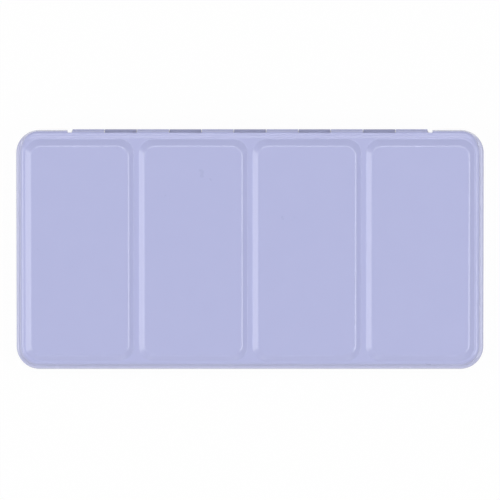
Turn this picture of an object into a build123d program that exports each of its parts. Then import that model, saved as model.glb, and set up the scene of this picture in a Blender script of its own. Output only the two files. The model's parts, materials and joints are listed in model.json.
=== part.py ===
from build123d import *
from math import atan2, tan
import os

# A hinged metal paint tin: a drawn tray, a drawn lid whose four wells are mixing palettes,
# a rolled wire hinge along the rear edge, and two clipped rows of watercolour pans.
# Frame: +X to the right, +Y to the hinge, +Z up. The origin is under the middle of the
# tin, on the surface that it stands on. Every size is in millimetres.

# Sheet metal
sheet = 0.5  # tinplate of the tray and the lid
bend_radius = 0.8  # inside radius where the sheet is bent

# Pans and the cakes of paint in them
pans_per_row = 12
pan_width = 18.8  # along the row, over the rim
pan_length = 30.0  # across the row, over the rim
pan_height = 10.4
pan_draft = 0.7  # how much narrower each side is at the foot
pan_wall = 0.9
pan_corner = 1.8
pan_least_corner = 0.3  # of the hollow, near the foot
pan_foot_radius = 0.5
pan_spacing = 0.1  # between neighbours
paint_shrinkage = 0.06  # the dry cake stands off the pan's wall
paint_below_rim = 1.3
paint_dish = 0.5  # depth of the hollow in the cake's top

# The rack: a plate with four sprung rails that clip the two rows
plate_sheet = 0.4
rail_sheet = 0.4
rail_height = 7.6
rail_flange = 5.0  # the rail's foot, under the pans
rail_gap = 0.15  # between a rail and the pans' rims
grip_radius = 0.35  # the bead pressed into each spring tongue
grip_height = 5.6
tongue_gap = 2.4  # slot between two tongues
tongue_slot_depth = 5.2
row_end_gap = 1.1  # between a row and the tray's wall
rail_end_gap = 1.5  # from a rail's end to the tray's wall, which is rounded in its corners
brush_channel = 43.0  # clear width between the two inner rails
tray_margin = 4.3  # between an outer rail and the tray's wall
plate_edge_gap = 0.8  # between the plate and the tray's wall

# The tray
floor_lift = 3.0  # the floor's raised panel leaves room under it for the thumb ring
foot_width = 7.0  # flat foot all round the raised panel
floor_slope = 2.2
floor_corner = 6.0
tray_bottom_radius = 2.5
lid_corner = 9.4
hem_height = 1.6  # the tray's rim is folded inwards
hem_radius = 0.2
lip_gap = 1.2  # from the rim to the lid's ceiling

# The lid
lid_gap = 0.3  # between the tray's wall and the lid's skirt, all round
pan_headroom = 2.8  # from the pans' rims to the lid's ceiling
skirt_height = 5.2  # from the hinge's axis to the lid's flat rim
shoulder_radius = 2.0
bead_diameter = 2.7  # the skirt's edge, curled outwards

# The wells pressed into the lid
well_count = 4
well_depth = 1.8
well_side_margin = 2.6  # from the skirt to the first and last well
well_end_margin = 2.3  # from the skirt to the wells' ends
well_divider = 2.6  # rib between two wells
well_side_slope = 2.7
well_rear_slope = 3.6
well_front_slope = 2.7
well_foot_corner = 7.2
well_top_corner = 5.6
well_crown_radius = 2.6
well_foot_radius = 0.8

# The hinge
pin_diameter = 2.0
pin_chamfer = 0.3
hinge_clearance = 0.05  # round the pin
knuckle_pitch = 16.3
knuckle_count = 11  # the lid has the odd ones, the tray the even ones
knuckle_gap = 0.25
pin_overhang = 0.3
bead_stop = 2.4  # from the last knuckle to the end of the curled edge
notch_height = 2.0  # cut in the skirt over each knuckle of the tray
web_depth = 3.8  # how far the tray's knuckle reaches down its wall

# The thumb ring under the tray
ring_wire = 1.6
ring_bar = 18.0  # straight side, held by the strap
ring_bow = 13.0  # radius of the round side
ring_bend = 2.0
strap_width = 12.0
strap_length = 15.0
strap_sheet = 0.4
strap_clearance = 0.05
rivet_diameter = 2.0
rivet_head = 3.4
rivet_head_height = 0.5
rivet_head_radius = 0.35
rivet_gap = 0.05
rivet_spacing_x = 7.0
ring_offset = -9.0  # the bar is in front of the middle, so that the ring lies in it

# Worked out: heights
floor_top = floor_lift + sheet
plate_top = floor_top + plate_sheet
pan_base = plate_top + rail_sheet
pan_top = pan_base + pan_height
ceiling = pan_top + pan_headroom
rim_top = ceiling + sheet
axis_height = rim_top - skirt_height
lip_top = ceiling - lip_gap
lid_top = rim_top + well_depth

# Worked out: plan sizes, from the pans outwards
pan_pitch = pan_width + pan_spacing
row_length = pans_per_row * pan_pitch
row_depth = pan_length + 2 * rail_gap
tray_inner_width = row_length + 2 * row_end_gap
tray_inner_depth = 2 * row_depth + 4 * rail_sheet + brush_channel + 2 * tray_margin
tray_width = tray_inner_width + 2 * sheet
tray_depth = tray_inner_depth + 2 * sheet
tray_corner = lid_corner - sheet - lid_gap
lid_width = tray_width + 2 * (lid_gap + sheet)
lid_depth = tray_depth + 2 * (lid_gap + sheet)
row_centre = brush_channel / 2 + rail_sheet + row_depth / 2
skirt_rear = lid_depth / 2

# Worked out: hinge
pin_radius = pin_diameter / 2
knuckle_bore = pin_radius + hinge_clearance
knuckle_radius = knuckle_bore + sheet
hinge_length = knuckle_count * knuckle_pitch
axis_y = skirt_rear - sheet + knuckle_radius
bead_end = hinge_length / 2 + bead_stop

# Worked out: wells
well_width = (lid_width - 2 * well_side_margin - (well_count - 1) * well_divider) / well_count
well_length = lid_depth - 2 * well_end_margin
well_pitch = well_width + well_divider

# Worked out: thumb ring
ring_radius = ring_wire / 2
ring_height = floor_lift - strap_clearance - ring_radius

LEVEL = 0.01  # edges this close to a height count as lying at it


def rounded_plate(width, depth, corner, low, high, x=0, y=0):
    """A block with rounded upright corners."""
    outline = RectangleRounded(width, depth, corner)
    return extrude(Pos(x, y, low) * outline, high - low)


def tapered_block(lower, upper, low, high):
    """A ruled block between two rounded rectangles, each (width, depth, corner, x, y)."""
    faces = []
    for (width, depth, corner, x, y), z in ((lower, low), (upper, high)):
        faces.append(Pos(x, y, z) * RectangleRounded(width, depth, corner))
    return loft(faces, ruled=True)


def level_edges(shape, height):
    """The edges that lie flat at one height."""
    found = []
    for edge in shape.edges():
        box = edge.bounding_box()
        if abs(box.min.Z - height) < LEVEL and abs(box.max.Z - height) < LEVEL:
            found.append(edge)
    return found


def inner_edges(edges, width, depth):
    """Those edges that lie wholly inside a rectangle of this size."""
    found = []
    for edge in edges:
        box = edge.bounding_box()
        reach_x = max(abs(box.min.X), abs(box.max.X))
        reach_y = max(abs(box.min.Y), abs(box.max.Y))
        if reach_x < width / 2 - LEVEL and reach_y < depth / 2 - LEVEL:
            found.append(edge)
    return found


def outer_edges(edges, width, depth):
    """Those edges that reach the outline of a rectangle of this size."""
    inside = inner_edges(edges, width, depth)
    return [edge for edge in edges if edge not in inside]


def tray_form(inset):
    """The tray's outside, or with inset set to the sheet's thickness, its inside."""
    width = tray_width - 2 * inset
    depth = tray_depth - 2 * inset
    top = lip_top + inset  # the inside cuts through the rim
    form = rounded_plate(width, depth, tray_corner - inset, inset, top)
    form = fillet(level_edges(form, inset), tray_bottom_radius - inset)
    spread = inset * tan(atan2(floor_lift, floor_slope) / 2)
    wide = tray_width - 2 * foot_width + 2 * spread
    long = tray_depth - 2 * foot_width + 2 * spread
    lower = (wide, long, floor_corner + spread, 0, 0)
    upper = (wide - 2 * floor_slope, long - 2 * floor_slope, floor_corner - floor_slope / 2 + spread, 0, 0)
    form -= tapered_block(lower, upper, inset, inset + floor_lift)
    foot = inner_edges(level_edges(form, inset), wide + foot_width / 2, long + foot_width / 2)
    form = fillet(foot, bend_radius + sheet - inset)
    return fillet(level_edges(form, inset + floor_lift), bend_radius + inset)


def tray_rim():
    """The rim's hem: the sheet folded inwards on itself."""
    low = lip_top - hem_height
    outer = rounded_plate(tray_width, tray_depth, tray_corner, low, lip_top)
    inset = 2 * sheet
    hollow = rounded_plate(
        tray_width - 2 * inset, tray_depth - 2 * inset, tray_corner - inset, low, lip_top
    )
    hem = outer - hollow
    return fillet(level_edges(hem, lip_top), hem_radius)


def hinge_extrude(profile, index):
    """One knuckle's length of a profile drawn in Y and Z, at its place along the hinge."""
    start = -hinge_length / 2 + index * knuckle_pitch + knuckle_gap / 2
    plane = Plane(origin=(start, axis_y, axis_height), x_dir=(0, 1, 0), z_dir=(1, 0, 0))
    return extrude(plane * profile, knuckle_pitch - knuckle_gap)


def lid_knuckle_profile():
    """The skirt's sheet, turned out over the pin and rolled round it."""
    turn = knuckle_radius - hinge_clearance  # radius of the hollow turn above the roll
    inner_y = -knuckle_radius
    outer_y = inner_y + sheet
    reach = outer_y + turn
    web = Polyline(
        (inner_y, 0),
        (inner_y, knuckle_radius + turn),
        (outer_y, knuckle_radius + turn),
    )
    hollow = RadiusArc((outer_y, knuckle_radius + turn), (reach, knuckle_radius), turn)
    close = Polyline((reach, knuckle_radius), (0, knuckle_radius), (0, 0), (inner_y, 0))
    profile = make_face(Wire([*web.edges(), hollow, *close.edges()]))
    return profile + Circle(knuckle_radius) - Circle(knuckle_bore)


def tray_knuckle_profile():
    """The tray's sheet, stepped out from its wall and rolled round the pin."""
    wall_outer = -knuckle_radius - lid_gap
    wall_inner = wall_outer - sheet / 2
    front = -knuckle_radius
    web = Polyline(
        (wall_inner, -web_depth),
        (wall_outer, -web_depth),
        (front + sheet, -knuckle_radius - sheet),
        (front + sheet, 0),
        (front, 0),
        (front, -knuckle_radius),
        (wall_inner, -web_depth + sheet),
        close=True,
    )
    return make_face(web) + Circle(knuckle_radius) - Circle(knuckle_bore)


def tray():
    """The drawn tray with its foot, raised floor, hemmed rim and hinge knuckles."""
    body = tray_form(0) - tray_form(sheet) + tray_rim()
    knuckle = tray_knuckle_profile()
    for index in range(1, knuckle_count, 2):
        body += hinge_extrude(knuckle, index)
    for x, y in rivet_places():
        body -= Pos(x, y, floor_lift + sheet / 2) * Cylinder(rivet_diameter / 2 + rivet_gap, 2 * sheet)
    return body


def lid_form(inset):
    """The lid's outside, or with inset set to the sheet's thickness, its inside."""
    low = axis_height - inset  # the inside cuts through the skirt's edge
    rim = rim_top - inset
    top = lid_top - inset
    form = rounded_plate(lid_width - 2 * inset, lid_depth - 2 * inset, lid_corner - inset, low, rim)
    side = inset * tan(atan2(well_depth, well_side_slope) / 2)
    rear = inset * tan(atan2(well_depth, well_rear_slope) / 2)
    front = inset * tan(atan2(well_depth, well_front_slope) / 2)
    foot_y = (front - rear) / 2
    crown_y = foot_y + (well_front_slope - well_rear_slope) / 2
    width = well_width - 2 * side
    length = well_length - rear - front
    for index in range(well_count):
        x = (index - (well_count - 1) / 2) * well_pitch
        foot = (width, length, well_foot_corner - side, x, foot_y)
        crown = (
            width - 2 * well_side_slope,
            length - well_rear_slope - well_front_slope,
            well_top_corner - side,
            x,
            crown_y,
        )
        form += tapered_block(foot, crown, rim, top)
    outline = (lid_width - 2 * inset, lid_depth - 2 * inset)
    form = fillet(inner_edges(level_edges(form, rim), *outline), well_foot_radius + inset)
    form = fillet(level_edges(form, top), well_crown_radius - inset)
    return fillet(outer_edges(level_edges(form, rim), *outline), shoulder_radius - inset)


def curled_edge():
    """The skirt's edge, curled outwards into a hollow bead that stops short of the hinge."""
    half_width = lid_width / 2 - sheet + bead_diameter / 2
    half_depth = lid_depth / 2 - sheet + bead_diameter / 2
    corner = lid_corner - sheet + bead_diameter / 2
    path = FilletPolyline(
        (-bead_end, half_depth, axis_height),
        (-half_width, half_depth, axis_height),
        (-half_width, -half_depth, axis_height),
        (half_width, -half_depth, axis_height),
        (half_width, half_depth, axis_height),
        (bead_end, half_depth, axis_height),
        radius=corner,
    )
    ring = Circle(bead_diameter / 2) - Circle(bead_diameter / 2 - sheet)
    start = Plane(origin=path @ 0, z_dir=path % 0)
    return sweep(start * ring, path=path)


def lid():
    """The drawn lid with its four wells, skirt, curled edge and hinge knuckles."""
    body = lid_form(0) - lid_form(sheet)
    for index in range(1, knuckle_count, 2):
        x = -hinge_length / 2 + (index + 0.5) * knuckle_pitch
        notch = Box(
            knuckle_pitch + knuckle_gap,
            4 * sheet,
            notch_height,
            align=(Align.CENTER, Align.CENTER, Align.MIN),
        )
        body -= Pos(x, skirt_rear, axis_height) * notch
    body += curled_edge()
    knuckle = lid_knuckle_profile()
    for index in range(0, knuckle_count, 2):
        body += hinge_extrude(knuckle, index)
    return body


def hinge_pin():
    """The wire that the knuckles turn on."""
    length = hinge_length + 2 * pin_overhang
    pin = Pos(0, axis_y, axis_height) * Rot(0, 90, 0) * Cylinder(pin_radius, length)
    return chamfer(pin.edges().filter_by(GeomType.CIRCLE), pin_chamfer)


def rack_plate():
    """The plate on the tray's floor that carries the four rails."""
    width = tray_inner_width - 2 * plate_edge_gap
    depth = tray_inner_depth - 2 * plate_edge_gap
    corner = tray_corner - sheet - plate_edge_gap
    return rounded_plate(width, depth, corner, floor_top, plate_top)


def rail():
    """One sprung rail, upright at Y = 0 with its foot towards -Y, as the rear row's rear rail."""
    length = tray_inner_width - 2 * rail_end_gap
    upright = Box(length, rail_sheet, rail_height, align=(Align.CENTER, Align.MIN, Align.MIN))
    foot = Box(length, rail_flange + rail_sheet, rail_sheet, align=(Align.CENTER, Align.MAX, Align.MIN))
    body = upright + Pos(0, rail_sheet, 0) * foot
    slot = Box(tongue_gap, 3 * rail_sheet, tongue_slot_depth, align=(Align.CENTER, Align.CENTER, Align.MAX))
    grip = Rot(0, 90, 0) * Cylinder(grip_radius, (pan_pitch - tongue_gap) / 2)
    grip_hollow = Rot(0, 90, 0) * Cylinder(grip_radius - rail_sheet / 2, (pan_pitch - tongue_gap) / 2)
    for index in range(pans_per_row + 1):
        edge = (index - pans_per_row / 2) * pan_pitch
        body -= Pos(edge, rail_sheet / 2, rail_height) * slot
    for index in range(pans_per_row):
        middle = (index - (pans_per_row - 1) / 2) * pan_pitch
        body += Pos(middle, 0, grip_height) * (grip & Box(pan_pitch, rail_sheet, 2 * rail_height))
        body -= Pos(middle, rail_sheet, grip_height) * grip_hollow
    return body


def pan_form(inset, low, high):
    """The pan's tapered form between two heights above its foot, inset by a wall."""
    sections = []
    for z in (low, high):
        side = inset + pan_draft * (1 - z / pan_height)
        corner = max(pan_corner - side, pan_least_corner)
        sections.append((pan_width - 2 * side, pan_length - 2 * side, corner, 0, 0))
    return tapered_block(*sections, low, high)


def pan():
    """An empty pan, standing on Z = 0."""
    cup = pan_form(0, 0, pan_height)
    cup = fillet(level_edges(cup, 0), pan_foot_radius)
    return cup - pan_form(pan_wall, pan_wall, pan_height)


def paint_cake():
    """The dried cake of paint in a pan, hollowed a little where it shrank."""
    inset = pan_wall + paint_shrinkage
    top = pan_height - paint_below_rim
    cake = pan_form(inset, pan_wall, top)
    half = pan_width / 2 - inset
    sphere_radius = (half**2 + paint_dish**2) / (2 * paint_dish)
    reach = pan_length / 2 - half
    trough = Rot(90, 0, 0) * Cylinder(sphere_radius, 2 * reach)
    dish = trough + Pos(0, reach, 0) * Sphere(sphere_radius) + Pos(0, -reach, 0) * Sphere(sphere_radius)
    return cake - Pos(0, 0, top + sphere_radius - paint_dish) * dish


def rivet_places():
    """The strap's two rivets, one each side of the ring's bar."""
    reach = ring_radius + strap_clearance + strap_sheet
    offset = (reach + strap_length / 2) / 2
    places = []
    for x in (-rivet_spacing_x / 2, rivet_spacing_x / 2):
        for y in (-offset, offset):
            places.append((x, ring_offset + y))
    return places


def thumb_ring():
    """The D-shaped wire ring, folded flat under the floor towards the hinge."""
    half = ring_bar / 2
    centre = (ring_bow**2 - half**2) ** 0.5
    bow = ThreePointArc((half, 0), (0, centre + ring_bow), (-half, 0))
    bar = Line((-half, 0), (half, 0))
    outline = make_face(Wire([bow, bar]))
    wire = fillet(outline.vertices(), ring_bend).face().outer_wire()
    place = Pos(0, ring_offset, ring_height)
    wire = place * wire
    start = Plane(origin=wire @ 0, z_dir=wire % 0)
    return sweep(start * Circle(ring_radius), path=wire)


def ring_strap():
    """The strap that holds the ring's bar against the floor."""
    bore = ring_radius + strap_clearance
    outer = bore + strap_sheet
    tabs = Box(strap_length, strap_width, strap_sheet, align=(Align.CENTER, Align.CENTER, Align.MAX))
    strap = Pos(0, ring_offset, floor_lift) * tabs
    roll = Rot(0, 90, 0) * Cylinder(outer, strap_length)
    strap += Pos(0, ring_offset, ring_height) * roll
    strap -= Pos(0, ring_offset, ring_height) * Rot(0, 90, 0) * Cylinder(bore, 2 * strap_length)
    above = Box(2 * strap_length, 2 * strap_width, outer, align=(Align.CENTER, Align.CENTER, Align.MIN))
    strap -= Pos(0, ring_offset, floor_lift) * above
    throat = Box(2 * strap_length, 2 * bore, 2 * bore, align=(Align.CENTER, Align.CENTER, Align.MIN))
    strap -= Pos(0, ring_offset, ring_height) * throat
    for x, y in rivet_places():
        strap -= Pos(x, y, floor_lift) * Cylinder(rivet_diameter / 2 + rivet_gap, 4 * strap_sheet)
    return strap


def strap_rivets():
    """The rivets through the strap and the floor, with a head on each side."""
    low = floor_lift - strap_sheet
    shank = Cylinder(
        rivet_diameter / 2, floor_top - low, align=(Align.CENTER, Align.CENTER, Align.MIN)
    )
    head = Cylinder(rivet_head / 2, rivet_head_height, align=(Align.CENTER, Align.CENTER, Align.MAX))
    head = fillet(level_edges(head, -rivet_head_height), rivet_head_radius)
    rivet = Pos(0, 0, low) * (shank + head)
    return Compound(children=[Pos(x, y, 0) * rivet for x, y in rivet_places()])


def write(shape, name):
    """Writes one sub-part."""
    export_step(shape, f"parts/{name}.step")


def main():
    os.makedirs("parts", exist_ok=True)
    write(tray(), "tray")
    write(lid(), "lid")
    write(hinge_pin(), "hinge_pin")
    write(rack_plate(), "rack_plate")
    one_rail = rail()
    outer_y = row_centre + row_depth / 2
    inner_y = row_centre - row_depth / 2
    write(Pos(0, outer_y, plate_top) * one_rail, "rail_rear_outer")
    write(Pos(0, inner_y, plate_top) * Rot(0, 0, 180) * one_rail, "rail_rear_inner")
    write(Pos(0, -inner_y, plate_top) * one_rail, "rail_front_inner")
    write(Pos(0, -outer_y, plate_top) * Rot(0, 0, 180) * one_rail, "rail_front_outer")
    empty_pan = pan()
    cake = paint_cake()
    for row, y in enumerate((row_centre, -row_centre)):
        for column in range(pans_per_row):
            x = (column - (pans_per_row - 1) / 2) * pan_pitch
            number = row * pans_per_row + column + 1
            write(Pos(x, y, pan_base) * empty_pan, f"pan_{number:02d}")
            write(Pos(x, y, pan_base) * cake, f"paint_{number:02d}")
    write(thumb_ring(), "thumb_ring")
    write(ring_strap(), "ring_strap")
    write(strap_rivets(), "strap_rivets")


main()
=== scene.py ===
import json
from math import atan2, cos, pi, radians, sin, tan

import bmesh
import bpy
import numpy as np
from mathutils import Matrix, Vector
from mathutils.geometry import tessellate_polygon


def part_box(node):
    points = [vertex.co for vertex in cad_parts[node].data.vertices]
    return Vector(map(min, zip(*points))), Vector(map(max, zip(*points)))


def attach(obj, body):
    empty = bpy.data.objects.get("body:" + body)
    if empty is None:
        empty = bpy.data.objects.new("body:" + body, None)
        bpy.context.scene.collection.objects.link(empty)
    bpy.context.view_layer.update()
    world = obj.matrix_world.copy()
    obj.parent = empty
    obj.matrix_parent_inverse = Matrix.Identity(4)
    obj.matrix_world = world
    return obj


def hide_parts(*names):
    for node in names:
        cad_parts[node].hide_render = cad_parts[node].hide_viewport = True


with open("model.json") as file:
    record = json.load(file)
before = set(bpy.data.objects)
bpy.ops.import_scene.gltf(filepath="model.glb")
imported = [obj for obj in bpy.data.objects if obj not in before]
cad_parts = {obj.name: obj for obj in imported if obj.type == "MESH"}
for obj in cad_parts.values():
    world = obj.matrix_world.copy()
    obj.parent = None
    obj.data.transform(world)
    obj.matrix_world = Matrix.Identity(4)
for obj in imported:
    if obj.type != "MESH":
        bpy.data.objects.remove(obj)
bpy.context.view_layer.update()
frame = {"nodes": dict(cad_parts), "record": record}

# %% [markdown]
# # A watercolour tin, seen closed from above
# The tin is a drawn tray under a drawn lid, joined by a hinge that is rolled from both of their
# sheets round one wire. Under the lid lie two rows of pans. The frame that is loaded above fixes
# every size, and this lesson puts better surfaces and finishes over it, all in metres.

MM = 0.001

# %% [markdown]
# ## Shader maths in plain Python
# A material is a small program. A node tree hides it behind boxes and wires, so a thin wrapper
# lets a mask be written as `1 - wear * 0.3`, and each operator adds the Math node that it means.

# %% A socket that can be added, subtracted and multiplied
class Value:
    """Wraps an output socket, so that arithmetic on it adds Math nodes."""

    def __init__(self, finish, socket):
        self.finish = finish
        self.socket = socket

    def math(self, operation, *others):
        """One Math node with this socket as its first input."""
        inputs = {0: self, **dict(enumerate(others, 1))}
        return self.finish.node("ShaderNodeMath", {"operation": operation}, inputs)[0]

    def __add__(self, other):
        return self.math("ADD", other)

    def __sub__(self, other):
        return self.math("SUBTRACT", other)

    def __mul__(self, other):
        return self.math("MULTIPLY", other)

    def __radd__(self, other):
        return self + other

    def __rsub__(self, other):
        return self * -1.0 + other

    def __rmul__(self, other):
        return self * other

    def step(self, low, high):
        """0 under low, 1 over high, and smooth between them."""
        return self.finish.node(
            "ShaderNodeMapRange",
            {"interpolation_type": "SMOOTHSTEP"},
            {"Value": self, "From Min": low, "From Max": high},
        )[0]


# %% A finish, which is a material with its one way of adding nodes
class Finish:
    """A material whose nodes are all added by one method."""

    def __init__(self, name):
        self.material = bpy.data.materials.new(name)
        self.material.use_nodes = True
        self.tree = self.material.node_tree
        self.shader = self.tree.nodes["Principled BSDF"]
        self.output = self.tree.nodes["Material Output"]
        self.place = self.node("ShaderNodeTexCoord", {}, {})["Object"]

    def node(self, kind, settings, inputs):
        """Adds a node, sets its settings and then its sockets, and returns its outputs."""
        node = self.tree.nodes.new(kind)
        for key, value in settings.items():
            setattr(node, key, value)
        for key, value in inputs.items():
            self.feed(node.inputs[key], value)
        return Outputs(self, node)

    def feed(self, socket, value):
        """Links a wrapped socket, or sets a plain value."""
        if isinstance(value, Value):
            self.tree.links.new(value.socket, socket)
        elif isinstance(value, tuple) and len(value) == 3 and socket.type == "RGBA":
            socket.default_value = (*value, 1.0)
        else:
            socket.default_value = value

    def set(self, **inputs):
        """Feeds the shader's own sockets: base_color means Base Color."""
        for key, value in inputs.items():
            name = key.replace("_", " ").title().replace("Ior", "IOR")
            self.feed(self.shader.inputs[name], value)

    def noise(self, scale, detail, roughness=0.5, stretch=None):
        """Cloudy noise from 0 to 1, on the piece's own coordinates."""
        place = self.place
        if stretch:
            place = self.node("ShaderNodeMapping", {}, {"Vector": place, "Scale": stretch})[0]
        inputs = {"Vector": place, "Scale": scale, "Detail": detail, "Roughness": roughness}
        return self.node("ShaderNodeTexNoise", {}, inputs)["Fac"]

    def blend(self, mask, first, second):
        """A colour between two, by a mask."""
        inputs = {"Factor": mask, "A": first, "B": second}
        return self.node("ShaderNodeMix", {"data_type": "RGBA"}, inputs)["Result"]

    def bump(self, height, distance, strength):
        """A normal tilted by a height, in metres."""
        inputs = {"Height": height, "Distance": distance, "Strength": strength}
        return self.node("ShaderNodeBump", {}, inputs)["Normal"]


class Outputs:
    """A node's outputs, by name or number, each wrapped as a Value. Inputs and outputs that
    share a name, as on a Mix node, are told apart by being enabled."""

    def __init__(self, finish, node):
        self.finish = finish
        self.node = node

    def __getitem__(self, key):
        if isinstance(key, int):
            return Value(self.finish, self.node.outputs[key])
        found = [s for s in self.node.outputs if s.name == key and s.enabled]
        return Value(self.finish, found[0])


# %% [markdown]
# ## The lacquers
# Tinplate for a paint box is roller-coated and stoved flat, then pressed. The lacquer is smooth
# and glossy, with the faint ripple of a stoved coat and fine rubs. A clear coat over a softly
# mottled colour gives both. On the bead the coat is painted paler and brighter, a painted
# highlight for the light that the curled edge catches. On the tray's knuckles it is painted darker
# and duller, a painted shade for the gap under the lid's ledge.

# %% Lilac lacquer, its copies with painted highlight and painted shade, and white enamel
def lacquer(name, colour, rubbed, roughness, coat):
    """A stoved coat: mottled colour, orange-peel ripple and fine rubs."""
    finish = Finish(name)
    cloud = finish.noise(90.0, 4.0)
    grain = finish.noise(2600.0, 2.0)
    rubs = finish.noise(700.0, 5.0, 0.65, stretch=(1.0, 0.06, 1.0)).step(0.62, 0.78)
    finish.set(
        base_color=finish.blend(cloud * 0.5 + grain * 0.15, colour, rubbed),
        roughness=roughness + cloud * 0.05 + rubs * 0.03,
        coat_weight=coat,
        coat_roughness=0.12,
        normal=finish.bump(finish.noise(420.0, 2.0) + grain * 0.1, 0.00002, 0.35),
    )
    return finish.material


LILAC = (0.405, 0.425, 0.68)
LILAC_RUBBED = (0.43, 0.45, 0.70)
lilac = lacquer("lilac_lacquer", LILAC, LILAC_RUBBED, 0.26, 0.5)
# the bead's copy of the lilac is painted paler and brighter: a painted highlight
lilac_edge = lacquer("lilac_edge", (0.45, 0.465, 0.67), (0.49, 0.505, 0.69), 0.24, 0.8)
# the tray knuckles' copy is painted darker and duller: painted shade for the gap under the ledge
lilac_hinge = lacquer("lilac_hinge", (0.29, 0.305, 0.50), (0.34, 0.355, 0.54), 0.34, 0.3)
enamel = lacquer("white_enamel", (0.82, 0.82, 0.80), (0.86, 0.86, 0.84), 0.22, 0.6)
print("four lacquers")


# %% [markdown]
# ## Steel, plastic and paint
# The wire and the rivets are bare steel with fine draw lines, so their noise is stretched along
# the piece. The pans are glossy moulded plastic. The paint is matt pigment bound with gum: its
# surface is pitted, a little waxy, and paler where the pigment has come up.

# %% The other finishes
def steel(name, colour, roughness):
    """Bright rolled or drawn steel with fine draw lines."""
    finish = Finish(name)
    lines = finish.noise(900.0, 3.0, 0.6, stretch=(0.04, 1.0, 1.0))
    finish.set(
        base_color=finish.blend(lines, colour, tuple(0.86 * c for c in colour)),
        metallic=1.0,
        roughness=roughness + lines * 0.18,
        normal=finish.bump(lines, 0.00001, 0.4),
    )
    return finish.material


wire_steel = steel("wire_steel", (0.70, 0.69, 0.67), 0.20)
spring_steel = steel("spring_steel", (0.62, 0.62, 0.61), 0.26)


def moulded(name, colour):
    """Glossy moulded plastic: a faint flow mottle and a soft skin."""
    finish = Finish(name)
    flow = finish.noise(160.0, 2.0)
    finish.set(
        base_color=finish.blend(flow * 0.6, colour, tuple(0.95 * c for c in colour)),
        roughness=0.28 + flow * 0.10,
        specular_ior_level=0.5,
        normal=finish.bump(finish.noise(900.0, 2.0), 0.00002, 0.25),
    )
    return finish.material


pan_plastic = moulded("pan_plastic", (0.84, 0.84, 0.82))
print("two steels and a plastic")


def cake(name, colour):
    """Dried watercolour: matt pigment with a waxy sheen and pits."""
    finish = Finish(name)
    pits = finish.noise(1400.0, 4.0, 0.7)
    bloom = finish.noise(220.0, 3.0).step(0.45, 0.8)
    light = tuple(min(1.0, 1.25 * c + 0.02) for c in colour)
    finish.set(
        base_color=finish.blend(bloom * 0.5 + pits * 0.2, colour, light),
        roughness=0.42 + pits * 0.25,
        specular_ior_level=0.35,
        normal=finish.bump(pits, 0.00012, 0.6),
    )
    return finish.material


# %% [markdown]
# ## Surfaces from profiles
# A drawn sheet is a profile carried round a rounded rectangle. Every outline here is a set of
# columns: a point on the rectangle between the corners' centres, and the direction outwards.
# A row of the surface is then `core + outwards * reach`, at some height, for all columns at once.

# %% Columns round a rounded rectangle
CORNER_STEPS = 14
UP, DOWN = (0.0, 0.0, 1.0), (0.0, 0.0, -1.0)
WELD = 2e-6  # points this close become one
SHARP_ANGLE = 35  # degrees, above which an edge stays sharp


def columns(half_x, half_y, centre=(0.0, 0.0), rear_stops=()):
    """The core points and outward directions round a rectangle whose corners' centres are at
    plus and minus half_x and half_y. It runs anticlockwise from the rear side's first stop, or
    from the rear side's right end."""
    stops = np.array(rear_stops, dtype=float)
    core = [np.column_stack([stops, np.full(len(stops), half_y)])]
    out = [np.tile([0.0, 1.0], (len(stops), 1))]
    corners = [(-half_x, half_y), (-half_x, -half_y), (half_x, -half_y), (half_x, half_y)]
    for quarter, corner in enumerate(corners, 1):
        angle = (quarter + np.linspace(0.0, 1.0, CORNER_STEPS + 1)) * pi / 2
        out.append(np.column_stack([np.cos(angle), np.sin(angle)]))
        core.append(np.tile(corner, (len(angle), 1)))
    return np.concatenate(core) + np.array(centre), np.concatenate(out)


def swept(core, out, profile):
    """The grid of points [row, column]: each row of the profile is (reach, height), and its
    points are core + out * reach at that height."""
    profile = np.asarray(profile, dtype=float)
    plan = core[None] + out[None] * profile[:, 0, None, None]
    height = np.broadcast_to(profile[:, 1, None, None], (*plan.shape[:2], 1))
    return np.concatenate([plan, height], axis=2)


def arc(centre, radius, start, end, steps):
    """Points on an arc in the profile's plane, angles in degrees from outwards towards up."""
    angle = np.radians(np.linspace(start, end, steps + 1))
    return np.column_stack([centre[0] + radius * np.cos(angle), centre[1] + radius * np.sin(angle)])


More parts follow.
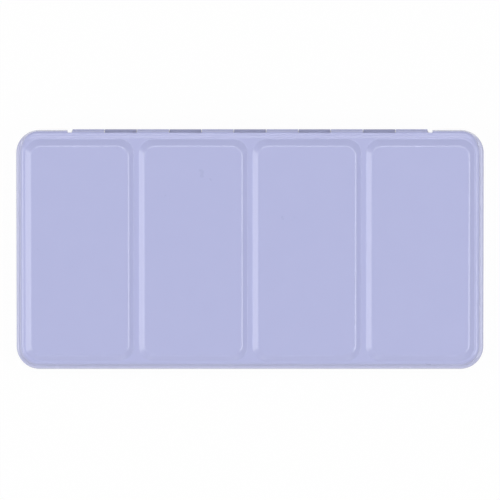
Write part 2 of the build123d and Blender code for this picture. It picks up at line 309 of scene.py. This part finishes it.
class Skin:
    """Collects grids and flat fills, and makes them one mesh with closed seams."""

    def __init__(self):
        self.points = []
        self.faces = []
        self.slots = []
        self.count = 0

    def add(self, points, faces, slot):
        self.points.append(points)
        self.faces.extend((faces + self.count).tolist())
        self.slots.extend([slot] * len(faces))
        self.count += len(points)

    def grid(self, grid, slot=0, closed=False, flip=False):
        """Quads between neighbouring rows and columns of a grid of points."""
        rows, wide = grid.shape[:2]
        index = np.arange(rows * wide).reshape(rows, wide)
        if closed:
            index = np.column_stack([index, index[:, 0]])
        quads = np.stack([index[:-1, :-1], index[1:, :-1], index[1:, 1:], index[:-1, 1:]], axis=-1)
        quads = quads.reshape(-1, 4)
        self.add(grid.reshape(-1, 3), quads[:, ::-1] if flip else quads, slot)

    def flat(self, loops, towards=UP):
        """A flat fill between an outer loop and the holes in it, which faces one way."""
        tris = np.array(tessellate_polygon([[Vector(p) for p in loop] for loop in loops]))
        points = np.concatenate(loops)
        a, b, c = (points[tris[:, k]] for k in range(3))
        turned = np.cross(b - a, c - a) @ np.array(towards) < 0
        tris[turned] = tris[turned][:, ::-1]
        self.add(points, tris, 0)

    def mesh(self, name, materials, thickness=None, shift=0):
        """The finished object: welded, given its sheet's thickness, and shaded smooth."""
        mesh = bpy.data.meshes.new(name)
        mesh.from_pydata(np.concatenate(self.points).tolist(), [], self.faces)
        mesh.polygons.foreach_set("material_index", self.slots)
        for material in materials:
            mesh.materials.append(material)
        work = bmesh.new()
        work.from_mesh(mesh)
        bmesh.ops.remove_doubles(work, verts=work.verts, dist=WELD)
        work.to_mesh(mesh)
        work.free()
        piece = bpy.data.objects.new(name, mesh)
        bpy.context.collection.objects.link(piece)
        if thickness:
            solid = piece.modifiers.new("sheet", "SOLIDIFY")
            solid.thickness = thickness
            solid.offset = -1.0
            solid.use_even_offset = True
            solid.use_quality_normals = True
            solid.material_offset = shift
            graph = bpy.context.evaluated_depsgraph_get()
            piece.data = bpy.data.meshes.new_from_object(piece.evaluated_get(graph))
            piece.modifiers.clear()
        piece.data.shade_smooth()
        piece.data.set_sharp_from_angle(angle=radians(SHARP_ANGLE))
        print(name, len(piece.data.polygons), "faces")
        return piece


# %% [markdown]
# ## The sizes that the surfaces share
# They are the pressed sheets' own sizes: the lid's outline, the height of its flat rim, and where
# the hinge's wire runs.

# %% Sizes of the sheet, the lid and the hinge
SHEET = 0.5 * MM
AXIS_Y, AXIS_Z = 59.25 * MM, 12.8 * MM
RIM_Z, LID_TOP = 18.0 * MM, 19.8 * MM
LID_HALF = np.array([115.8, 58.2]) * MM
LID_CORNER, SHOULDER = 9.4 * MM, 2.0 * MM
BEAD, HOLLOW = 1.35 * MM, 0.6 * MM  # the bead's half height, and the hollow turn out to it
KNUCKLES, PITCH, KNUCKLE_GAP = 11, 16.3 * MM, 0.25 * MM
BEAD_STOP = 2.4 * MM  # from the last knuckle to the end of the bead
BORE, BARREL = 1.05 * MM, 1.55 * MM  # radii of the tray's knuckles inside and the lid's outside
GUARD = 0.03 * MM  # a flat strip beside each bend, which keeps its shading off the flats
BEND_STEPS = 8


def knuckle_span(index):
    """The two ends of a knuckle along the hinge, the right-hand end first."""
    start = (index - KNUCKLES / 2) * PITCH + KNUCKLE_GAP / 2
    return start + PITCH - KNUCKLE_GAP, start


# %% [markdown]
# ## The lid
# Its four raised panels are mixing wells seen from outside: the sheet is pressed up 1.8 mm, with
# tight bends at the foot and soft ones at the crown, and the slope is gentler at the rear. Round
# them runs a narrow flat, then a rounded shoulder and a short skirt whose edge turns out and
# curls under into a bead. A half-cylinder along a box would miss how these bends run into each
# other, so each is a profile carried along its outline, and the sheet's thickness comes last.

# %% One well, from its foot to its crown
WELLS = 4
WELL_SIDE, WELL_END, DIVIDER = 2.6 * MM, 2.3 * MM, 2.6 * MM
WELL_WIDTH = (2 * LID_HALF[0] - 2 * WELL_SIDE - (WELLS - 1) * DIVIDER) / WELLS
WELL_LENGTH = 2 * (LID_HALF[1] - WELL_END)
SLOPE_SIDE, SLOPE_REAR, SLOPE_FRONT = 2.7 * MM, 3.3 * MM, 2.7 * MM
FOOT_CORNER, CROWN_CORNER = 7.2 * MM, 5.6 * MM
FOOT_REACH, CROWN_REACH = 0.22 * MM, 0.8 * MM  # how far the bends reach along the flats


def well_grid(centre_x):
    """Rows of points up the well's slope. A column's foot F lies on the foot's outline and its
    head C on the crown's. The slope between them, F + (C - F) * t, is rounded at the foot and at
    the crown by arcs that are tangent to it and that reach the same way along the flats all
    round, so the gentler ends get the larger bends. Each row is F + towards * u at height z,
    with u and z worked out for all columns at once."""
    foot_half = np.array([WELL_WIDTH / 2 - FOOT_CORNER, WELL_LENGTH / 2 - FOOT_CORNER])
    crown_half = np.array([
        WELL_WIDTH / 2 - SLOPE_SIDE - CROWN_CORNER,
        (WELL_LENGTH - SLOPE_REAR - SLOPE_FRONT) / 2 - CROWN_CORNER,
    ])
    core, out = columns(*foot_half, (centre_x, 0.0))
    foot = core + out * FOOT_CORNER
    core, out = columns(*crown_half, (centre_x, (SLOPE_FRONT - SLOPE_REAR) / 2))
    crown = core + out * CROWN_CORNER
    run = np.linalg.norm(crown - foot, axis=1)
    towards = (crown - foot) / run[:, None]
    rise = LID_TOP - RIM_Z
    tilt = np.arctan2(rise, run)
    turn = np.linspace(0.0, 1.0, BEND_STEPS + 1)[:, None] * tilt
    foot_bend = FOOT_REACH / np.tan(tilt / 2)
    crown_bend = CROWN_REACH / np.tan(tilt / 2)
    low_u = -FOOT_REACH + foot_bend * np.sin(turn)
    low_z = foot_bend * (1 - np.cos(turn))
    high_u = run + CROWN_REACH - crown_bend * np.sin(turn[::-1])
    high_z = rise - crown_bend * (1 - np.cos(turn[::-1]))
    u = np.concatenate([low_u[:1] - GUARD, low_u, high_u, high_u[-1:] + GUARD])
    z = np.concatenate([low_z[:1], low_z, high_z, high_z[-1:]]) + RIM_Z
    plan = foot[None] + towards[None] * u[..., None]
    return np.concatenate([plan, z[..., None]], axis=2)


# %% The lid's columns, with a stop at both ends of each knuckle
rear_stops = [KNUCKLES * PITCH / 2 + BEAD_STOP]
for index in range(KNUCKLES - 1, -1, -1):
    rear_stops += knuckle_span(index)
rear_stops.append(-rear_stops[0])
lid_core, lid_out = columns(*(LID_HALF - LID_CORNER), rear_stops=rear_stops)
print(len(lid_core), "columns round the lid")

# %% The wells, and the flat round them
lid_skin = Skin()
flat_edge = [(LID_CORNER - SHOULDER - GUARD, RIM_Z)]
wells = [well_grid((k - (WELLS - 1) / 2) * (WELL_WIDTH + DIVIDER)) for k in range(WELLS)]
for well in wells:
    lid_skin.grid(well, closed=True, flip=True)
    lid_skin.flat([well[-1]])
lid_skin.flat([swept(lid_core, lid_out, flat_edge)[0]] + [well[0] for well in wells])
print(len(wells), "wells of", np.round(np.array([WELL_WIDTH, WELL_LENGTH]) / MM, 1), "mm")

# %% The profile over the shoulder, down the skirt and round the bead
SHOULDER_STEPS = 12
CURL_END = -120  # degrees from outwards
bead_half_width = 2 * BEAD - SHEET - HOLLOW
curl = arc((0.0, 0.0), 1.0, 90, CURL_END, 24)[1:] * (bead_half_width, BEAD)
shoulder = np.concatenate([
    flat_edge,
    arc((LID_CORNER - SHOULDER, RIM_Z - SHOULDER), SHOULDER, 90, 0, SHOULDER_STEPS),
    arc((LID_CORNER + HOLLOW, AXIS_Z + BEAD + HOLLOW), HOLLOW, 180, 270, 8),
    curl + (LID_CORNER + HOLLOW, AXIS_Z),
])
print(len(shoulder), "points from the flat to the end of the bead")

# %% [markdown]
# ### The lid's rear edge
# At the rear the shoulder runs on as a soft ledge over the hinge. At each of the lid's own
# knuckles it bends down behind the wire and rolls forwards under it. Over the tray's knuckles it
# is cut off part of the way round its bend, and the dark gap under the cut shows from above. The
# tray's knuckles in that gap are also painted darker, as painted shade.


# %% The ledge, and its drop behind the wire
def bends(start, turns):
    """A profile from a start, through bends of (radius, first tilt, last tilt) in degrees. A tilt
    is the slope downwards and rearwards. Along a bend from a to b the place moves rearwards by
    radius * |sin b - sin a| and down by radius * |cos b - cos a|. Radius 0 with a length instead
    of the first tilt is a straight run at the last tilt."""
    points = [np.array(start)]
    for radius, first, last in turns:
        if radius == 0:
            tilt = radians(last)
            points.append(points[-1] + first * np.array([cos(tilt), -sin(tilt)]))
            continue
        tilt = np.radians(np.linspace(first, last, BEND_STEPS + 1))[1:, None]
        begin = radians(first)
        step = np.abs(np.hstack([np.sin(tilt) - sin(begin), np.cos(tilt) - cos(begin)]))
        points.extend(points[-1] + radius * step * (1.0, -1.0))
    return np.array(points)


SHOULDER_TILT, LEDGE_TILT, CUT_TILT = 20.0, 4.0, 35.0  # degrees
LEVELLING, LEDGE_RUN, LEDGE_BEND = 2.0 * MM, 0.87 * MM, 1.8 * MM
shoulder_start = LID_HALF[1] - SHOULDER
ledge = bends((shoulder_start, RIM_Z), [
    (SHOULDER, 0.0, SHOULDER_TILT),
    (LEVELLING, SHOULDER_TILT, LEDGE_TILT),
    (0.0, LEDGE_RUN, LEDGE_TILT),
    (LEDGE_BEND, LEDGE_TILT, CUT_TILT),
])
ledge = np.concatenate([[(shoulder_start - GUARD, RIM_Z)], ledge])
drop = bends(ledge[-1], [(LEDGE_BEND, CUT_TILT, 90.0)])[1:]
print("the ledge is cut at y, z =", np.round(ledge[-1] / MM, 2), "mm")

# %% [markdown]
# ### From the ledge to the shoulder
# Beyond the hinge the ledge drops onto the bead, and round the rear corners it runs out into the
# shoulder. Both profiles get the same points along their lengths, so each column of the edge can
# take its own share of the two.


# %% Both profiles on the same points
def lengths(profile):
    """The length run along a profile up to each of its points, from 0 to 1."""
    steps = np.linalg.norm(np.diff(profile, axis=0), axis=1)
    run = np.concatenate([[0.0], np.cumsum(steps)])
    return run / run[-1]


def resampled(profile, run):
    """The profile's points at the given shares of its length."""
    return np.column_stack([np.interp(run, lengths(profile), profile[:, k]) for k in (0, 1)])


LANDING = 0.1 * MM  # how far the drop spreads where it lands on the bead
rear_core_y = LID_HALF[1] - LID_CORNER
landing = int(np.argmax(shoulder[:, 0] + rear_core_y > drop[-1, 0] + LANDING))
beside = shoulder[:landing + 1]
behind = np.concatenate([np.concatenate([ledge, drop]) - (rear_core_y, 0.0), beside[-1:]])
shares = np.unique(np.round(np.concatenate([lengths(behind), lengths(beside)]), 3))
cut = int(np.argmin(np.abs(shares - lengths(behind)[len(ledge) - 1])))
bead_start = int(np.argmin(np.abs(shares - lengths(beside)[SHOULDER_STEPS + 2])))
behind, beside = resampled(behind, shares), resampled(beside, shares)
ledge = behind[:cut + 1] + (rear_core_y, 0.0)
print(len(shares), "points on each profile, with the cut at number", cut)


# %% The spans along the hinge
def rear_strip(skin, ends, profile, slot=0):
    """A profile of (y, z) carried straight along the hinge between two places."""
    profile = np.asarray(profile)
    grid = np.empty((len(profile), 2, 3))
    grid[..., 0] = np.array(ends)[None]
    grid[..., 1] = profile[:, 0, None]
    grid[..., 2] = profile[:, 1, None]
    skin.grid(grid, slot)


LID_ROLL = (62, -215)  # the lid's knuckles start and end here, in degrees from rearwards
ROLL_LEAD = 0.2 * MM  # straight down before the roll starts
barrel = arc((AXIS_Y, AXIS_Z), BARREL, *LID_ROLL, 28)
roll = np.concatenate([ledge, drop, [(drop[-1, 0], barrel[0, 1] + ROLL_LEAD)], barrel])
for place, ends in enumerate(zip(rear_stops[:-1], rear_stops[1:])):
    own = place % 4 == 1  # in turn: a gap, a knuckle of the lid, a gap, a knuckle of the tray
    rear_strip(lid_skin, ends, roll if own else ledge)
print(place + 1, "spans along the hinge")

# %% The edge round the rest of the lid
RUN_OUT = 0.35  # the ledge has run out where a column points rearwards by this share
round_lid = np.r_[len(rear_stops) - 1:len(lid_core), 0]
edge_core, edge_out = lid_core[round_lid], lid_out[round_lid]
share = np.clip((edge_out[:, 1] - RUN_OUT) / (1 - RUN_OUT), 0.0, 1.0)
share = (share**2 * (3 - 2 * share))[None, :, None]
edge = swept(edge_core, edge_out, beside) * (1 - share)
edge += swept(edge_core, edge_out, behind) * share
edge = np.concatenate([edge, swept(edge_core, edge_out, shoulder[landing + 1:])])
lid_skin.grid(edge[:bead_start + 1])
# the bead takes the lilac that is painted paler, a painted highlight
lid_skin.grid(edge[bead_start:], slot=2)

lid = lid_skin.mesh("lid_shell", [lilac, enamel, lilac_edge, lilac_edge], SHEET, 1)
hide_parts("lid")
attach(lid, "lid")

# %% [markdown]
# ## The tray
# It is drawn in one piece too: a raised floor panel, a flat foot round it that it stands on, a
# bend, a plain wall, and a rim whose sheet is folded inwards. Its knuckles are tabs that step out
# from the wall and roll forwards over the wire.

# %% The tray's raised floor
LID_GAP, TRAY_SHEET = 0.3 * MM, 0.48 * MM
TRAY_HALF = LID_HALF - SHEET - LID_GAP
TRAY_CORNER = LID_CORNER - SHEET - LID_GAP
FLOOR_Z, FOOT_WIDTH = 3.0 * MM, 7.0 * MM
FLOOR_CORNER, FLOOR_SLOPE = 6.0 * MM, 2.2 * MM
LOW_BEND, HIGH_BEND = 1.3 * MM, 0.8 * MM
tilt = atan2(FLOOR_Z, FLOOR_SLOPE)
low_reach = FLOOR_CORNER + LOW_BEND * tan(tilt / 2)
high_reach = FLOOR_CORNER - FLOOR_SLOPE - HIGH_BEND * tan(tilt / 2)
degrees = tilt * 180 / pi
floor_profile = np.concatenate([
    [(low_reach + GUARD, 0.0)],
    arc((low_reach, LOW_BEND), LOW_BEND, -90, -90 - degrees, 6),
    arc((high_reach, FLOOR_Z - HIGH_BEND), HIGH_BEND, 90 - degrees, 90, 6),
    [(high_reach - GUARD, FLOOR_Z)],
])
floor_core, floor_out = columns(*(TRAY_HALF - FOOT_WIDTH - FLOOR_CORNER))
panel = swept(floor_core, floor_out, floor_profile)
tray_skin = Skin()
tray_skin.grid(panel, closed=True)
tray_skin.flat([panel[-1]], towards=DOWN)
print("the floor's slope rises at", round(degrees), "degrees")

# %% The tray's wall and its folded rim
LIP_Z, HEM, TRAY_BEND = 16.3 * MM, 1.6 * MM, 2.5 * MM
wall_profile = np.concatenate([
    [(TRAY_CORNER - TRAY_BEND - GUARD, 0.0)],
    arc((TRAY_CORNER - TRAY_BEND, TRAY_BEND), TRAY_BEND, -90, 0, 12),
    arc((TRAY_CORNER - SHEET, LIP_Z - SHEET), SHEET, 0, 180, 10),
    [(TRAY_CORNER - 2 * SHEET, LIP_Z - HEM)],
])
wall = swept(*columns(*(TRAY_HALF - TRAY_CORNER)), wall_profile)
tray_skin.grid(wall, closed=True, flip=True)
tray_skin.flat([wall[0], panel[0]], towards=DOWN)
print(wall.shape[1], "columns round the tray")

# %% The tray's knuckles
WEB_DEPTH, WEB_FOOT, WEB_TUCK = 3.8 * MM, 3.9 * MM, 0.2 * MM  # where the tab leaves the wall
TRAY_ROLL = (180, -125)  # degrees from rearwards
wall_y = TRAY_HALF[1]
tab = np.concatenate([
    [(wall_y - WEB_TUCK, AXIS_Z - WEB_FOOT), (wall_y, AXIS_Z - WEB_DEPTH)],
    [(AXIS_Y - BORE, AXIS_Z - BARREL - SHEET)],
    arc((AXIS_Y, AXIS_Z), BORE, *TRAY_ROLL, 26),
])
for index in range(1, KNUCKLES, 2):
    rear_strip(tray_skin, knuckle_span(index), tab[::-1], slot=2)

# the tray's knuckles take the lilac that is painted darker, a painted shade
tray = tray_skin.mesh("tray_shell", [lilac, enamel, lilac_hinge, lilac_hinge], TRAY_SHEET, 1)
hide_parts("tray")
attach(tray, "tray")

# %% [markdown]
# ## The pieces that keep their own shape
# The wire, the rack, the ring and its strap are right as they are, so only their finish changes.

# %% Finishes on the other pieces
def dress(node, material):
    """Puts a finish on a piece of the frame."""
    for slot in frame["nodes"][node].material_slots:
        slot.material = material


for node in ("hinge_pin", "thumb_ring"):
    dress(node, wire_steel)
for rail in ("rear_outer", "rear_inner", "front_inner", "front_outer"):
    dress(f"rail_{rail}", enamel)
dress("rack_plate", enamel)
dress("ring_strap", lilac)
dress("strap_rivets", spring_steel)
print("nine pieces dressed")

# %% [markdown]
# ## The pans
# A full pan is a thin moulded cup, tapered so that it leaves its mould, with a stiffer band round
# its rim and a soft radius in every corner. A box with bevels would give all its edges the same
# radius, so the pan is one profile instead, carried round a rounded rectangle and closed below.

# %% One pan's profile
PAN_HALF = np.array([9.4, 15.0]) * MM
PAN_CORNER, PAN_DRAFT, PAN_HEIGHT, PAN_WALL = 1.8 * MM, 0.7 * MM, 10.4 * MM, 0.9 * MM
FOOT_RADIUS, RIM_RADIUS, BAND, BAND_STEP = 0.5 * MM, 0.3 * MM, 1.3 * MM, 0.18 * MM
foot_reach = PAN_CORNER - PAN_DRAFT
rim_z = PAN_HEIGHT - RIM_RADIUS
pan_profile = np.concatenate([
    arc((foot_reach - FOOT_RADIUS, FOOT_RADIUS), FOOT_RADIUS, -90, -4, 5),
    [(PAN_CORNER - BAND_STEP, PAN_HEIGHT - BAND), (PAN_CORNER, PAN_HEIGHT - BAND + BAND_STEP)],
    arc((PAN_CORNER - RIM_RADIUS, rim_z), RIM_RADIUS, 0, 90, 4),
    arc((PAN_CORNER - PAN_WALL + RIM_RADIUS, rim_z), RIM_RADIUS, 90, 180, 4),
    # down inside to the bottom, whose corner is rounded in two steps
    [(foot_reach - PAN_WALL + 0.1 * MM, PAN_WALL + 0.5 * MM)],
    [(0.08 * MM, PAN_WALL + 0.1 * MM), (0.02 * MM, PAN_WALL)],
])
print("a pan is", np.round(2 * PAN_HALF / MM, 1), "mm over its rim")


def pan_shell(name, centre, base):
    """One pan, standing at a height, with its profile carried round the rounded rectangle."""
    skin = Skin()
    core, out = columns(*(PAN_HALF - PAN_CORNER), centre)
    grid = swept(core, out, pan_profile + (0.0, base))
    skin.grid(grid, closed=True, flip=True)
    skin.flat([grid[0]], towards=DOWN)
    skin.flat([grid[-1]])
    return skin.mesh(name, [pan_plastic])


# %% [markdown]
# ## The cakes of paint
# The paint is poured warm and dries from the wall inwards: it clings to the wall in a thin rim,
# sinks in the middle, and sets with slow waves and a wrinkle or two. No two are the same, so each
# cake draws its own waves from its number.

# %% One cake
CAKE_INSET, CAKE_TOP, DISH = 0.97 * MM, 9.0 * MM, 0.75 * MM
CAKE_LIFT = 0.02 * MM  # off the pan's bottom
CLING, CLING_WIDTH = 0.35 * MM, 0.05  # the rim that clings to the wall, and its share of the way in
CAKE_RINGS, WAVES, FIRST_SEED = 22, 5, 100
DISH_SHARES, WAVE_LENGTHS, WAVE_HEIGHTS = (0.7, 1.15), (3.5, 11.0), (0.02, 0.07)  # waves in mm


def cake_skin(name, centre, base, number, material):
    """Rings that shrink from the pan's wall to the middle. With r from 1 at the wall to 0, the
    height is top - dish * (1 - r^4) + cling * exp(-(1 - r) / width) + the sum of the waves
    a * sin(k . p + phase), which die out at the wall."""
    draw = np.random.default_rng(FIRST_SEED + number)
    core, out = columns(*(PAN_HALF - PAN_CORNER))
    slant = PAN_DRAFT * (1 - CAKE_TOP / PAN_HEIGHT)
    outline = core + out * (PAN_CORNER - CAKE_INSET - slant)
    size = np.linspace(1.0, 0.03, CAKE_RINGS) ** 1.25
    plan = outline[None] * size[:, None, None]
    r = size[:, None]
    height = CAKE_TOP - DISH * (1 - r**4) * draw.uniform(*DISH_SHARES)
    height = height + CLING * np.exp((r - 1) / CLING_WIDTH)
    waves = np.zeros(plan.shape[:2])
    for _ in range(WAVES):
        angle, length = draw.uniform(0, pi), draw.uniform(*WAVE_LENGTHS) * MM
        along = plan[..., 0] * cos(angle) + plan[..., 1] * sin(angle)
        tall = draw.uniform(*WAVE_HEIGHTS) * MM
        waves += tall * np.sin(2 * pi * along / length + draw.uniform(0, 2 * pi))
    top = np.dstack([plan, height + waves * (1 - r**3)])
    foot_size = (PAN_HALF - CAKE_INSET - PAN_DRAFT) / (PAN_HALF - CAKE_INSET - slant)
    foot = np.column_stack([outline * foot_size, np.full(len(outline), PAN_WALL + CAKE_LIFT)])
    grid = np.concatenate([foot[None], top]) + np.array([*centre, base])
    skin = Skin()
    skin.grid(grid, closed=True, flip=True)
    skin.flat([grid[0]], towards=DOWN)
    skin.flat([grid[-1]])
    return skin.mesh(name, [material])


# %% Twenty-four pans with their paint
colours = {m["slot"]: tuple(m["base_color"][:3]) for m in frame["record"]["materials"]}
for number in range(1, 25):
    low, high = (np.array(corner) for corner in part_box(f"pan_{number:02d}"))
    centre = (low[:2] + high[:2]) / 2
    pan = pan_shell(f"pan_cup_{number:02d}", centre, low[2])
    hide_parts(f"pan_{number:02d}")
    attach(pan, "tray")
    dry = cake(f"paint_{number:02d}_dry", colours[f"paint_{number:02d}"])
    block = cake_skin(f"paint_cake_{number:02d}", centre, low[2], number, dry)
    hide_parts(f"paint_{number:02d}")
    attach(block, "tray")

# %% [markdown]
# ## Light, floor and camera
# The tin was lit by two large soft boxes, left and right, with weaker ones behind and in front.
# It stands on white, which is the floor's and the sky's own colour, so the lamps stay at a plain
# level.

# %% The white surroundings
def whiten(finish, keep):
    """Mixes a shader with plain white for the rays that only look at it or reflect it."""
    path = finish.node("ShaderNodeLightPath", {}, {})
    seen = path["Is Camera Ray"].math("MAXIMUM", path["Is Glossy Ray"])
    seen = seen.math("MAXIMUM", path["Is Transmission Ray"])
    white = finish.node("ShaderNodeEmission", {}, {"Color": (1.0, 1.0, 1.0), "Strength": 1.0})
    mixed = finish.node("ShaderNodeMixShader", {}, {0: seen * keep})
    finish.tree.links.new(finish.shader.outputs[0], mixed.node.inputs[1])
    finish.tree.links.new(white.node.outputs[0], mixed.node.inputs[2])
    finish.tree.links.new(mixed.node.outputs[0], finish.output.inputs[0])


FLOOR_WHITE = 0.965  # the rest of the floor's look is its own shading, which shows the shadow
FLOOR_HALF = 3.0
FLOOR_DROP = 0.05 * MM  # clear of the tray's foot, so the two never flicker through each other
floor_finish = Finish("white_floor")
floor_finish.set(base_color=(0.85, 0.85, 0.85), roughness=0.9)
whiten(floor_finish, FLOOR_WHITE)
corners = [(-1, -1), (1, -1), (1, 1), (-1, 1)]
floor_mesh = bpy.data.meshes.new("floor")
floor_mesh.from_pydata([(x * FLOOR_HALF, y * FLOOR_HALF, 0) for x, y in corners], [], [(0, 1, 2, 3)])
floor_mesh.materials.append(floor_finish.material)
floor = bpy.data.objects.new("floor", floor_mesh)
floor.location.z = -FLOOR_DROP
bpy.context.collection.objects.link(floor)
print("a floor", 2 * FLOOR_HALF, "m wide")

# %% The white sky, which gives less light than it shows
SKY_LIGHT = 0.36
world = bpy.data.worlds.new("studio")
world.use_nodes = True
bpy.context.scene.world = world
nodes, links = world.node_tree.nodes, world.node_tree.links
path = nodes.new("ShaderNodeLightPath")
dim, bright = nodes["Background"], nodes.new("ShaderNodeBackground")
for background, strength in ((dim, SKY_LIGHT), (bright, 1.0)):
    background.inputs["Color"].default_value = (1.0, 1.0, 1.0, 1.0)
    background.inputs["Strength"].default_value = strength
mix = nodes.new("ShaderNodeMixShader")
seen = path.outputs["Is Camera Ray"]
for ray in ("Is Glossy Ray", "Is Transmission Ray"):
    either = nodes.new("ShaderNodeMath")
    either.operation = "MAXIMUM"
    links.new(seen, either.inputs[0])
    links.new(path.outputs[ray], either.inputs[1])
    seen = either.outputs[0]
links.new(seen, mix.inputs[0])
links.new(dim.outputs[0], mix.inputs[1])
links.new(bright.outputs[0], mix.inputs[2])
links.new(mix.outputs[0], nodes["World Output"].inputs[0])
print("the sky lights at", SKY_LIGHT)


# %% Soft boxes
def soft_box(name, place, size, watts):
    """A rectangular area lamp that faces the tin."""
    lamp = bpy.data.lights.new(name, "AREA")
    lamp.shape = "RECTANGLE"
    lamp.size, lamp.size_y = size
    lamp.energy = watts
    holder = bpy.data.objects.new(name, lamp)
    holder.location = place
    holder.rotation_euler = (-Vector(place)).to_track_quat("-Z", "Y").to_euler()
    bpy.context.collection.objects.link(holder)


soft_box("soft_box_left", (-1.10, -0.1, 0.86), (0.9, 1.0), 7.6)
soft_box("soft_box_right", (0.84, -0.1, 1.11), (0.9, 0.7), 6.8)
soft_box("soft_box_rear", (0.0, 0.55, 1.5), (1.0, 0.35), 4.6)
soft_box("soft_box_front", (0.0, -1.3, 0.9), (1.4, 0.6), 2.0)
print("four soft boxes")

# %% [markdown]
# ## The camera
# The photograph is taken from above with a long lens: the two ends are the same size. A little
# more shows of the hinge than of the front edge, so the camera leans back by a small angle. The
# view is 252.6 mm wide where the curled edge lies.

# %% The camera
CAMERA_HEIGHT = 2.5
VIEW_WIDTH = 0.2526
LEAN = radians(2.5)
camera = bpy.data.cameras.new("camera")
camera.sensor_width = 36.0
camera.lens = camera.sensor_width * (CAMERA_HEIGHT - AXIS_Z) / VIEW_WIDTH
camera.clip_end = 20.0
holder = bpy.data.objects.new("camera", camera)
reach = CAMERA_HEIGHT - RIM_Z
holder.location = (0.0, reach * sin(LEAN), RIM_Z + reach * cos(LEAN))
holder.rotation_euler = (-LEAN, 0.0, 0.0)
bpy.context.collection.objects.link(holder)
bpy.context.scene.camera = holder
bpy.context.scene.view_settings.view_transform = "Standard"
print("a lens of", round(camera.lens), "mm")
